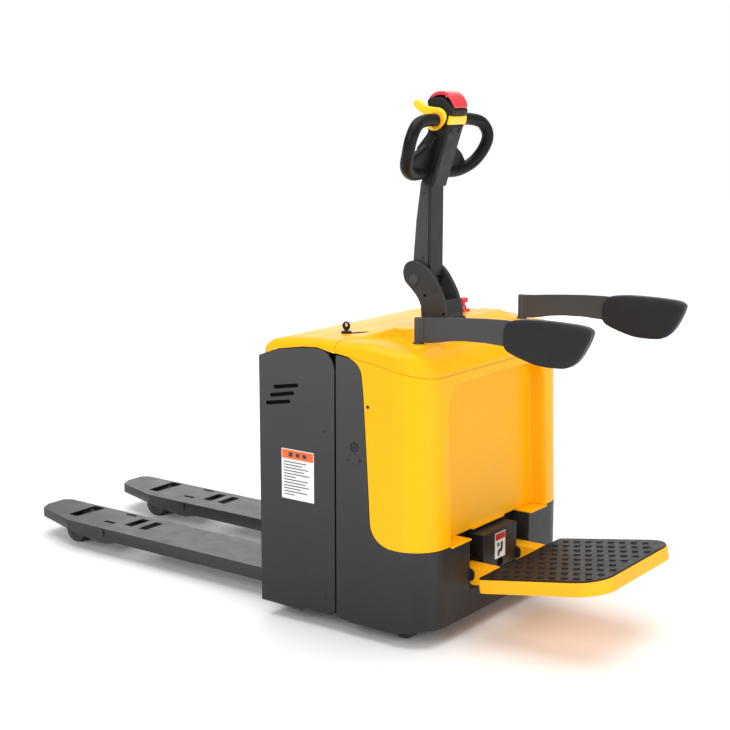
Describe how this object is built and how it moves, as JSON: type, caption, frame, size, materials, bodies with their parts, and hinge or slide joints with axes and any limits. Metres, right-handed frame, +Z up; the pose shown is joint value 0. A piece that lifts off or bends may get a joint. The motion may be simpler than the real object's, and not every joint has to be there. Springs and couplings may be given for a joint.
{
  "type": "electric pallet truck",
  "caption": "Ride-on powered pallet truck with lifting forks, steering tiller, folding rear platform and swing-out side guards.",
  "frame": {"origin": "floor level under the middle of the truck's outline", "axes": "+X from the fork tips to the rider platform, +Y to the operator's right, +Z up"},
  "size_m": [2.0561, 0.7358, 1.4342],
  "materials": {
    "yellow_shell": "satin moulded cover",
    "yellow_paint": "powder coat",
    "grey_paint": "fine textured powder coat",
    "dark_paint": "satin powder coat",
    "black_plastic": "fine grained moulding",
    "grip_plastic": "soft touch",
    "pad_foam": "integral skin foam",
    "mat_rubber": "moulded rubber",
    "lever_yellow": "gloss moulding",
    "button_red": "gloss moulding",
    "roller_pu": "cast polyurethane",
    "drive_pu": "cast polyurethane",
    "bright_steel": "ground",
    "zinc_screw": "blackened",
    "cast_housing": "painted casting",
    "motor_black": "satin",
    "controller_alu": "anodised",
    "battery_case": "moulded case",
    "hub_iron": "machined"
  },
  "bodies": {
    "drive_unit": {"chassis_frame": "dark_paint", "lower_skirt": "grey_paint", "rear_shell": "yellow_shell", "hood": "yellow_shell", "estop_base": "black_plastic", "switch_box": "grey_paint", "platform_lugs": "dark_paint", "guard_sockets": "dark_paint", "slewing_ring": "bright_steel", "lift_rams": "dark_paint", "hydraulic_unit": "motor_black", "motor_controller": "controller_alu", "shell_screws": "zinc_screw"},
    "fork_carriage": {"fork_left": "grey_paint", "fork_right": "grey_paint", "side_panel_left": "grey_paint", "side_panel_right": "grey_paint", "arm_pivot_pins": "bright_steel", "battery_box": "grey_paint", "battery_pack": "battery_case", "battery_cover": "yellow_shell", "key_panel": "yellow_shell", "panel_screws": "zinc_screw", "key_switch": "black_plastic", "ram_rods": "bright_steel"},
    "key": {"ignition_key": "black_plastic"},
    "steering": {"gearbox": "cast_housing", "traction_motor": "motor_black", "tiller_bracket": "grey_paint", "tiller_pin": "zinc_screw"},
    "drive_wheel": {"drive_hub": "hub_iron", "drive_tyre": "drive_pu"},
    "tiller": {"tiller_column": "dark_paint", "head_spine": "black_plastic", "hand_grip_left": "grip_plastic", "hand_grip_right": "grip_plastic"},
    "throttle": {"throttle_lever": "lever_yellow"},
    "reverse_button": {"reverse_button": "button_red"},
    "lift_button": {"lift_button": "black_plastic"},
    "lower_button": {"lower_button": "black_plastic"},
    "horn_button": {"horn_button": "lever_yellow"},
    "estop_knob": {"estop_knob": "button_red"},
    "platform": {"platform_tray": "yellow_paint", "platform_mat": "mat_rubber"},
    "roller_arm_left": {"roller_arm_left": "dark_paint", "roller_axle_left": "bright_steel"},
    "load_roller_left": {"load_roller_left": "roller_pu"},
    "pull_rod_left": {"pull_rod_left": "bright_steel"},
    "castor_fork_left": {"castor_fork_left": "zinc_screw"},
    "castor_wheel_left": {"castor_wheel_left": "roller_pu"},
    "guard_left": {"guard_bar_left": "grey_paint", "guard_pad_left": "pad_foam"},
    "roller_arm_right": {"roller_arm_right": "dark_paint", "roller_axle_right": "bright_steel"},
    "load_roller_right": {"load_roller_right": "roller_pu"},
    "pull_rod_right": {"pull_rod_right": "bright_steel"},
    "castor_fork_right": {"castor_fork_right": "zinc_screw"},
    "castor_wheel_right": {"castor_wheel_right": "roller_pu"},
    "guard_right": {"guard_bar_right": "grey_paint", "guard_pad_right": "pad_foam"}
  },
  "joints": [
    {"name": "lift", "type": "slide", "parent": "drive_unit", "child": "fork_carriage", "axis": [0, 0, 1], "range_m": [0, 0.11]},
    {"name": "steer", "type": "hinge", "parent": "drive_unit", "child": "steering", "pos_m": [0.405, 0, 0.3], "axis": [0, 0, 1], "range_deg": [-90, 90]},
    {"name": "drive_spin", "type": "hinge", "parent": "steering", "child": "drive_wheel", "pos_m": [0.405, 0, 0.105], "axis": [0, 1, 0], "continuous": true},
    {"name": "tiller_tilt", "type": "hinge", "parent": "steering", "child": "tiller", "pos_m": [0.333, 0, 0.926], "axis": [0, 1, 0], "range_deg": [0, 75], "stiffness_Nm_per_rad": 25, "springref_deg": -34.38},
    {"name": "throttle_turn", "type": "hinge", "parent": "tiller", "child": "throttle", "pos_m": [0.40218, 0, 1.35967], "axis": [0, 1, 0], "range_deg": [-30, 30], "stiffness_Nm_per_rad": 0.6},
    {"name": "reverse_press", "type": "slide", "parent": "tiller", "child": "reverse_button", "axis": [-0.3156, 0, -0.9489], "range_m": [0, 0.004], "stiffness_N_per_m": 600, "springref_m": -0.003},
    {"name": "lift_press", "type": "slide", "parent": "tiller", "child": "lift_button", "axis": [-0.9489, 0, 0.3156], "range_m": [0, 0.003], "stiffness_N_per_m": 300, "springref_m": -0.002},
    {"name": "lower_press", "type": "slide", "parent": "tiller", "child": "lower_button", "axis": [-0.9489, 0, 0.3156], "range_m": [0, 0.003], "stiffness_N_per_m": 300, "springref_m": -0.002},
    {"name": "horn_press", "type": "slide", "parent": "tiller", "child": "horn_button", "axis": [0.9489, 0, -0.3156], "range_m": [0, 0.004], "stiffness_N_per_m": 300, "springref_m": -0.002},
    {"name": "estop_press", "type": "slide", "parent": "drive_unit", "child": "estop_knob", "axis": [0, 0, -1], "range_m": [0, 0.008]},
    {"name": "key_turn", "type": "hinge", "parent": "fork_carriage", "child": "key", "pos_m": [0.255, -0.245, 0.8], "axis": [0, 0, 1], "range_deg": [0, 60]},
    {"name": "platform_fold", "type": "hinge", "parent": "drive_unit", "child": "platform", "pos_m": [0.598, 0, 0.16], "axis": [0, -1, 0], "range_deg": [-9.7, 66]},
    {"name": "roller_arm_left_turn", "type": "hinge", "parent": "fork_carriage", "child": "roller_arm_left", "pos_m": [-0.688, -0.173, 0.07], "axis": [0, -1, 0], "range_deg": [0, 43.51]},
    {"name": "load_roller_left_spin", "type": "hinge", "parent": "roller_arm_left", "child": "load_roller_left", "pos_m": [-0.86, -0.173, 0.04], "axis": [0, 1, 0], "continuous": true},
    {"name": "pull_rod_left_slide", "type": "slide", "parent": "fork_carriage", "child": "pull_rod_left", "axis": [1, 0, 0], "range_m": [0, 0.01385]},
    {"name": "castor_left_swivel", "type": "hinge", "parent": "drive_unit", "child": "castor_fork_left", "pos_m": [0.46, -0.28, 0.1], "axis": [0, 0, 1], "continuous": true},
    {"name": "castor_left_spin", "type": "hinge", "parent": "castor_fork_left", "child": "castor_wheel_left", "pos_m": [0.482, -0.28, 0.04], "axis": [0, 1, 0], "continuous": true},
    {"name": "guard_left_swing", "type": "hinge", "parent": "drive_unit", "child": "guard_left", "pos_m": [0.5, -0.261, 0.8], "axis": [0, 0, 1], "range_deg": [-90, 0]},
    {"name": "roller_arm_right_turn", "type": "hinge", "parent": "fork_carriage", "child": "roller_arm_right", "pos_m": [-0.688, 0.193, 0.07], "axis": [0, -1, 0], "range_deg": [0, 43.51]},
    {"name": "load_roller_right_spin", "type": "hinge", "parent": "roller_arm_right", "child": "load_roller_right", "pos_m": [-0.86, 0.193, 0.04], "axis": [0, 1, 0], "continuous": true},
    {"name": "pull_rod_right_slide", "type": "slide", "parent": "fork_carriage", "child": "pull_rod_right", "axis": [1, 0, 0], "range_m": [0, 0.01385]},
    {"name": "castor_right_swivel", "type": "hinge", "parent": "drive_unit", "child": "castor_fork_right", "pos_m": [0.46, 0.28, 0.1], "axis": [0, 0, 1], "continuous": true},
    {"name": "castor_right_spin", "type": "hinge", "parent": "castor_fork_right", "child": "castor_wheel_right", "pos_m": [0.482, 0.28, 0.04], "axis": [0, 1, 0], "continuous": true},
    {"name": "guard_right_swing", "type": "hinge", "parent": "drive_unit", "child": "guard_right", "pos_m": [0.5, 0.261, 0.8], "axis": [0, 0, 1], "range_deg": [0, 90]}
  ],
  "couplings": [
    {"joint": "roller_arm_left_turn", "follows": "lift", "rad_per_m": 6.8882},
    {"joint": "pull_rod_left_slide", "follows": "lift", "ratio": 0.12496},
    {"joint": "roller_arm_right_turn", "follows": "lift", "rad_per_m": 6.8882},
    {"joint": "pull_rod_right_slide", "follows": "lift", "ratio": 0.12496}
  ]
}
